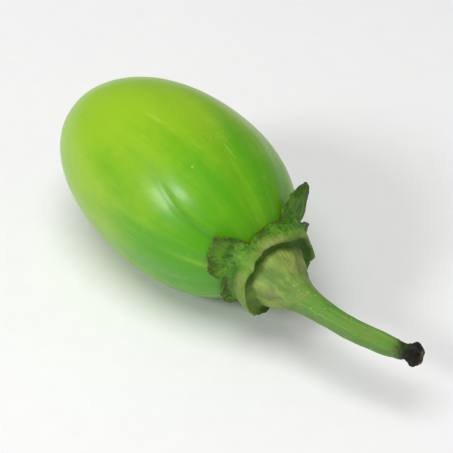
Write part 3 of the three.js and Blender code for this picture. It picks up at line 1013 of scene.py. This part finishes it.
fibre_effect, n, asked, given = effect(
    "Fibres", ("Round", 12.0), ("Along", 1.5), ("Threshold", 0.5), ("Softness", 0.2))
stretched = n.vector("MULTIPLY", asked["Vector"],
                     n.join(asked["Round"], asked["Round"], asked["Along"]))
strands = n.noise(stretched, 1.0, detail=3.0, roughness=0.55, distortion=0.15)
upper_edge = n.plus(asked["Threshold"], asked["Softness"])
n.feed(given["Mask"], n.ease(strands, asked["Threshold"], upper_edge))
print("shared effects:", mottle.name, freckles.name, fibre_effect.name)


# %% [markdown]
# A material starts with its shader, its place on the piece and the notes that were left on the
# mesh. `placed` adds one of the shared groups and sets its inputs by name. `layered` lays colours
# over one another, and `finished_with` ends the material: what varies goes in through nodes, and
# what doesn't is set on the shader itself.

# %% Material helpers
def open_material(material):
    material.use_nodes = True
    tree = material.node_tree
    n = Nodes(tree)
    shader = tree.nodes["Principled BSDF"]
    here = n.add("ShaderNodeTexCoord", out=3)
    return n, shader, here


def left_note(n, name, kind="Fac"):
    return n.add("ShaderNodeAttribute", attribute_name=name).node.outputs[kind]


def placed(n, group, vector, **inputs):
    made = n.tree.nodes.new("ShaderNodeGroup")
    made.node_tree = group
    n.feed(made.inputs["Vector"], vector)
    for name, value in inputs.items():
        n.feed(made.inputs[name.replace("_", " ")], value)
    return made.outputs["Mask"]


def layered(n, colour, *layers):
    """Each layer is a mask, its strength and the colour that shows where the mask is high."""
    for mask, strength, over in layers:
        colour = n.tint(n.times(mask, strength), colour, over)
    return colour


def finished_with(n, shader, colour, roughness, height, strength, depth, constants):
    bump = n.add("ShaderNodeBump",
                 named={"Height": height, "Strength": strength, "Distance": depth})
    varying = {"Base Color": colour, "Roughness": roughness, "Normal": bump}
    for name, value in (varying | constants).items():
        n.feed(shader.inputs[name], value)


# %% [markdown]
# ### The skin
#
# The skin is thin, waxy and slightly see-through. It is yellow-green where it ripened first, at the
# blossom end, and deep green under the calyx, and the change from one to the other is cloudy and
# streaked. The grooves and creases are painted greener and darker as shade, and the lower side
# towards the stem is painted deeper green as shade. Pale lines along the rib crests and pale streaks
# from the middle towards the stem are painted highlights. Pinprick freckles and a few dry scuffs
# break the gloss. A thin coat of wax sharpens the highlights. None of it comes from an image: each
# mark is a mask, made of noise or of a note that the mesh carries, with a colour and a strength, so
# it can be moved or weakened by itself.

# %% The skin's finish
YELLOW_GREEN, DEEP_GREEN = (0.255, 0.455, 0.009, 1), (0.080, 0.330, 0.002, 1)
# The groove and crease colours are painted shade.
GROOVE_SHADE_GREEN, CREASE_SHADE_GREEN = (0.075, 0.29, 0.003, 1), (0.06, 0.24, 0.004, 1)
# Both colours here are painted highlights: pale lines on the rib crests and glinting streaks.
RIB_HIGHLIGHT_PALE, GLINT_STREAK_PALE = (0.36, 0.54, 0.07, 1), (0.42, 0.62, 0.11, 1)
FRECKLE_YELLOW, SCUFF_TAN = (0.46, 0.58, 0.06, 1), (0.40, 0.46, 0.10, 1)
SCAR_BROWN = (0.16, 0.085, 0.025, 1)
RIPENS = (0.33, 1.02)                   # shares of the length: where green sets in and is full
PAINTED_SHADE_GROWS = (0.62, 0.88)
PAINTED_SHADE_WAY = (0.98, 0.20, 0.0)          # the lower side, painted deeper green as shade
GLINT_STREAKS_START = (0.36, 0.56)

n, shader, here = open_material(skin_finish)
along_note, groove_shade_note, crease_shade_note, rib_highlight_note, scar_note = (
    left_note(n, label) for label in ("along", "groove", "crease", "rib_line", "scar"))
way_note = left_note(n, "way", "Vector")

# How green each place is, with painted shade deepening the lower side towards the stem
clouds = placed(n, mottle, here, Patches=55.0, Specks=420.0, Speck_share=0.18, Contrast=0.9)
bands = placed(n, fibre_effect, way_note, Round=2.4, Along=0.9, Threshold=0.3, Softness=0.4)
toward_painted_shade = n.vector("DOT_PRODUCT", way_note, PAINTED_SHADE_WAY, out=1)
painted_shade_side = n.times(n.ease(toward_painted_shade, 0.55, 1.0), n.ease(along_note, *PAINTED_SHADE_GROWS))
greenness = n.plus(along_note, n.swing(clouds, 0.35), n.swing(bands, 0.3),
                   n.times(painted_shade_side, 0.24))

# Masks for what lies over the green; the rib lines and the streaks are painted highlights
rib_highlight_seen = n.ease(n.noise(here, 38.0, detail=1.0), 0.45, 0.62, 0.05, 0.42)
glint_streak_here = n.ease(n.noise(here, 48.0, detail=1.0), 0.48, 0.66)
glint_streaks = placed(n, fibre_effect, way_note, Round=17.0, Along=6.0, Threshold=0.6, Softness=0.12)
glint_streaks = n.times(glint_streaks, glint_streak_here, n.ease(along_note, *GLINT_STREAKS_START))
dots = placed(n, freckles, here, Per_metre=330.0, Size=0.16, How_many=0.22)
scuffs = placed(n, mottle, n.vector("MULTIPLY", way_note, (1.0, 1.0, 3.0)),
                Patches=3.2, Specks=26.0, Speck_share=0.45, Contrast=1.2)
scuffs = n.ease(scuffs, 0.80, 1.1)
colour = layered(
    n, n.tint(n.ease(greenness, *RIPENS), YELLOW_GREEN, DEEP_GREEN),
    # painted shade in the grooves and creases
    (groove_shade_note, 0.3, GROOVE_SHADE_GREEN),
    (crease_shade_note, 0.45, CREASE_SHADE_GREEN),
    # painted highlights along the rib crests and in the streaks
    (rib_highlight_note, rib_highlight_seen, RIB_HIGHLIGHT_PALE),
    (glint_streaks, 0.45, GLINT_STREAK_PALE),
    (dots, 0.5, FRECKLE_YELLOW),
    (scuffs, 0.25, SCUFF_TAN),
    (scar_note, 0.85, SCAR_BROWN),
)

gloss = placed(n, mottle, here, Patches=140.0, Specks=1400.0, Speck_share=0.4, Contrast=1.0)
roughness = n.math("MULTIPLY_ADD", gloss, 0.12, 0.34)
dry_roughness = n.times(n.math("MAXIMUM", scuffs, scar_note), 0.6)
pits = n.plus(n.noise(here, 1500.0, detail=2.0), n.times(dots, -0.8), n.times(glint_streaks, 0.5))
finished_with(n, shader, colour, n.math("MAXIMUM", roughness, dry_roughness),
              pits, 0.25, 0.12 * MM, {
                  "Subsurface Weight": 0.12, "Subsurface Radius": (0.6, 1.0, 0.15),
                  "Subsurface Scale": 2 * MM, "Coat Weight": 0.3, "Coat Roughness": 0.2,
                  "Coat IOR": 1.36, "IOR": 1.36})
print("skin nodes:", len(skin_finish.node_tree.nodes))


# %% [markdown]
# ### The calyx
#
# The sepals are duller than the skin: a mottled leaf, blackish along its dried rim, with painted
# shade darkening the recess round the stem and the leaf's underside. The collar is the part that
# gets rubbed, so its crest has gone olive and tan in patches, and so has the side where the recess
# is nearly filled. The ribs and veins are pale. Here nearly every mask is a note, because the marks
# follow the leaf's shape.

# %% The calyx's finish
LEAF_DARK, LEAF_LIGHT = (0.020, 0.105, 0.003, 1), (0.110, 0.270, 0.012, 1)
LEAF_FIBRE, VEIN_PALE = (0.12, 0.26, 0.03, 1), (0.20, 0.34, 0.06, 1)
# The second colour here is painted shade for the recess round the stem.
TIP_DARK, RECESS_SHADE = (0.05, 0.14, 0.012, 1), (0.055, 0.15, 0.018, 1)
FILLED_OLIVE = (0.17, 0.26, 0.045, 1)
CREST_GREEN, CREST_TAN = (0.125, 0.25, 0.024, 1), (0.25, 0.28, 0.075, 1)
# The second colour here is painted shade for the leaf's underside.
RIM_DARK, UNDERSIDE_SHADE = (0.06, 0.05, 0.014, 1), (0.06, 0.07, 0.018, 1)
LEAF_FRECKLE = (0.33, 0.42, 0.14, 1)

n, shader, here = open_material(calyx_finish)
rim_note, vein_note, crest_note, recess_shade_note, filled_note, tip_note, underside_shade_note = (
    left_note(n, label)
    for label in ("rim", "vein", "crest", "recess", "filled", "tip", "underside"))
leaf_way_note = left_note(n, "leaf_way", "Vector")

cloud = placed(n, mottle, here, Patches=260.0, Specks=1300.0, Speck_share=0.35, Contrast=2.1)
crest_patches = placed(n, mottle, here,
                       Patches=210.0, Specks=900.0, Speck_share=0.3, Contrast=2.2)
rim_patches = placed(n, mottle, here,
                     Patches=330.0, Specks=1500.0, Speck_share=0.4, Contrast=2.4)
leaf_fibres = placed(n, fibre_effect, leaf_way_note,
                     Round=22.0, Along=3.0, Threshold=0.42, Softness=0.3)
dots = placed(n, freckles, here, Per_metre=900.0, Size=0.24, How_many=0.35)
colour = layered(
    n, n.tint(cloud, LEAF_DARK, LEAF_LIGHT),
    (leaf_fibres, 0.14, LEAF_FIBRE),
    (vein_note, 0.28, VEIN_PALE),
    (tip_note, 0.3, TIP_DARK),
    # painted shade in the recess round the stem
    (recess_shade_note, 0.7, RECESS_SHADE),
    (filled_note, 0.6, FILLED_OLIVE),
    (n.ease(crest_note, 0.4, 0.95), 0.8, n.tint(crest_patches, CREST_GREEN, CREST_TAN)),
    (rim_note, n.ease(rim_patches, 0.3, 0.8, 0.15, 0.9), RIM_DARK),
    # painted shade on the leaf's underside
    (underside_shade_note, 0.5, UNDERSIDE_SHADE),
    (dots, 0.35, LEAF_FRECKLE),
)

roughness = n.math("MULTIPLY_ADD", cloud, -0.14, 0.7)
leaf_grain = n.noise(here, 1900.0, detail=3.0, roughness=0.6)
leaf_height = n.plus(leaf_grain, n.times(leaf_fibres, 0.35), n.times(crest_patches, 0.6))
finished_with(n, shader, colour, roughness, leaf_height, 0.55, 0.22 * MM, {
    "Subsurface Weight": 0.05, "Subsurface Scale": 1 * MM, "Specular IOR Level": 0.3})
print("calyx nodes:", len(calyx_finish.node_tree.nodes))


# %% [markdown]
# ### The stem
#
# The stem is pale olive where it spreads over the calyx, green along its middle, and nearly black
# where it has dried. Fibres run along it, the hollows of its folds are painted darker as shade, and
# the cut face is brown with a paler pith. The fibres are noise read on the note `stem_way`, which
# follows the bent stem.

# %% The stem's finish
STEM_DARK, STEM_LIGHT = (0.075, 0.215, 0.016, 1), (0.135, 0.295, 0.028, 1)
STRAND_PALE, STRAND_DARK = (0.20, 0.38, 0.08, 1), (0.085, 0.21, 0.028, 1)
# The first colour here is painted shade for the hollows of the folds.
CONE_FOLD_SHADE, CONE_PALE = (0.12, 0.205, 0.030, 1), (0.27, 0.36, 0.07, 1)
SCUFF_BROWN, PORE_PALE = (0.27, 0.21, 0.08, 1), (0.36, 0.45, 0.18, 1)
DRIED_BLACK, DRIED_GREY = (0.004, 0.005, 0.003, 1), (0.022, 0.024, 0.010, 1)
PITH_DARK, PITH_PALE = (0.045, 0.028, 0.015, 1), (0.17, 0.12, 0.06, 1)
CONE_ENDS = (0.06, 0.34)                # shares of the stem's length

n, shader, here = open_material(stem_finish)
stem_note, dried_note, cut_note, pore_note, fold_shade_note = (
    left_note(n, label) for label in ("stem_along", "dried", "cut", "pore", "foot_fold"))
stem_way_note = left_note(n, "stem_way", "Vector")

cloud = placed(n, mottle, here, Patches=200.0, Specks=1100.0, Speck_share=0.35, Contrast=1.3)
strands = placed(n, fibre_effect, stem_way_note,
                 Round=9.0, Along=0.8, Threshold=0.35, Softness=0.3)
fine_strands = placed(n, fibre_effect, stem_way_note,
                      Round=30.0, Along=2.0, Threshold=0.45, Softness=0.25)
scuffs = placed(n, mottle, here, Patches=240.0, Specks=1200.0, Speck_share=0.4, Contrast=2.0)
pith_grain = placed(n, mottle, here,
                    Patches=700.0, Specks=2600.0, Speck_share=0.5, Contrast=2.0)
drying = n.ease(n.plus(dried_note, n.swing(cloud, 0.4)), 0.0, 0.75)
green = layered(
    n, n.tint(cloud, STEM_DARK, STEM_LIGHT),
    (strands, 0.25, STRAND_PALE),
    (fine_strands, 0.14, STRAND_DARK),
    # the cone's folds, with painted shade in their hollows
    (n.ease(stem_note, *CONE_ENDS, 1.0, 0.0), 0.8,
     n.tint(n.ease(fold_shade_note, 0.2, 0.8), CONE_FOLD_SHADE, CONE_PALE)),
    (n.ease(scuffs, 0.7, 0.95), 0.35, SCUFF_BROWN),
    (pore_note, 0.75, PORE_PALE),
)
dried_colour = n.tint(drying, green, n.tint(fine_strands, DRIED_BLACK, DRIED_GREY))
colour = layered(n, dried_colour, (cut_note, 0.8, n.tint(pith_grain, PITH_DARK, PITH_PALE)))

green_roughness = n.math("MULTIPLY_ADD", cloud, -0.12, 0.58)
roughness = n.math("MULTIPLY_ADD", drying, 0.22, green_roughness)
stem_grain = n.noise(here, 1800.0, detail=3.0, roughness=0.6)
stem_height = n.plus(strands, n.times(fine_strands, 0.6), stem_grain)
finished_with(n, shader, colour, roughness, stem_height, 0.5, 0.22 * MM, {
    "Subsurface Weight": 0.05, "Subsurface Scale": 1 * MM})
print("stem nodes:", len(stem_finish.node_tree.nodes))


# %% [markdown]
# ## The studio
#
# A small fruit is shown best on a pale floor under large soft lights. The floor is a wide disc, so
# that it fills the view from any height but a very low one. Its paper is not quite even.

# %% Floor
FLOOR_RADIUS = 3.0
PAPER, PAPER_LIGHT = (0.79, 0.79, 0.79, 1), (0.83, 0.83, 0.825, 1)


def floor_disc(radius, steps=96):
    mesh = bpy.data.meshes.new("floor")
    disc = bmesh.new()
    bmesh.ops.create_circle(disc, cap_ends=True, segments=steps, radius=radius)
    disc.to_mesh(mesh)
    disc.free()
    made = bpy.data.objects.new("floor", mesh)
    bpy.context.scene.collection.objects.link(made)
    return made


floor = floor_disc(FLOOR_RADIUS)
floor_paper = bpy.data.materials.new("pale floor")
n, shader, here = open_material(floor_paper)
grain = placed(n, mottle, here, Patches=12.0, Specks=160.0, Speck_share=0.4, Contrast=0.8)
n.feed(shader.inputs["Base Color"], n.tint(grain, PAPER, PAPER_LIGHT))
shader.inputs["Roughness"].default_value = 0.75
floor.data.materials.append(floor_paper)
print("floor:", len(floor.data.polygons), "face")

# %% [markdown]
# The camera looks along the fruit from its stem end, from well above it. A long lens at a fixed
# distance keeps the shape undistorted. `aim` gives the direction from the object to anything that
# stands round it, by azimuth and elevation.

# %% Camera
CAMERA_WAY = (50, 38)                   # azimuth and elevation, in degrees
CAMERA_DISTANCE = 0.6
CAMERA_LENS = 196
TARGET_SHIFT = -4 * MM
TARGET_HEIGHT = 20 * MM


def aim(azimuth, elevation):
    a, e = math.radians(azimuth), math.radians(elevation)
    return Vector((math.sin(a) * math.cos(e), -math.cos(a) * math.cos(e), math.sin(e)))


scene = bpy.context.scene
camera_data = bpy.data.cameras.new("camera")
camera_data.lens = CAMERA_LENS
camera_data.clip_end = 20
camera = bpy.data.objects.new("camera", camera_data)
scene.collection.objects.link(camera)
low, high = cad_box
target = Vector(((low[0] + high[0]) / 2 + TARGET_SHIFT, (low[1] + high[1]) / 2, TARGET_HEIGHT))
back = aim(*CAMERA_WAY)
camera.location = target + back * CAMERA_DISTANCE
camera.rotation_euler = back.to_track_quat("Z", "Y").to_euler()
scene.camera = camera
print("camera, mm:", [round(v / MM) for v in camera.location])


# %% [markdown]
# A broad light overhead does most of the work and leaves the belly in soft shade. It isn't mirrored
# in the skin, which would whiten the whole upper side. A smaller key, about as high as the camera
# and well round to one side of it, puts the long highlight on the middle of the body, and the
# world fills the rest. Standard colour keeps the bright greens.

# %% Lights
def soft_light(name, azimuth, elevation, distance, size, watts):
    data = bpy.data.lights.new(name, "AREA")
    data.shape = "DISK"
    data.size = size
    data.energy = watts
    lamp = bpy.data.objects.new(name, data)
    direction = aim(azimuth, elevation)
    lamp.location = target + direction * distance
    lamp.rotation_euler = direction.to_track_quat("Z", "Y").to_euler()
    scene.collection.objects.link(lamp)
    return lamp


LIGHT_DISTANCE = 1.2
soft_light("key", -9, 34, LIGHT_DISTANCE, size=0.34, watts=6.5)
overhead = soft_light("overhead", 20, 78, LIGHT_DISTANCE, size=1.0, watts=11)
overhead.visible_glossy = False
world = bpy.data.worlds.new("studio")
world.use_nodes = True
background = world.node_tree.nodes["Background"].inputs
background["Color"].default_value = (1.0, 1.0, 1.0, 1)
background["Strength"].default_value = 0.28
scene.world = world
scene.view_settings.view_transform = "Standard"
print("lights:", len(bpy.data.lights))

# %% [markdown]
# Last, the view layer is brought up to date.

# %% The last update
bpy.context.view_layer.update()
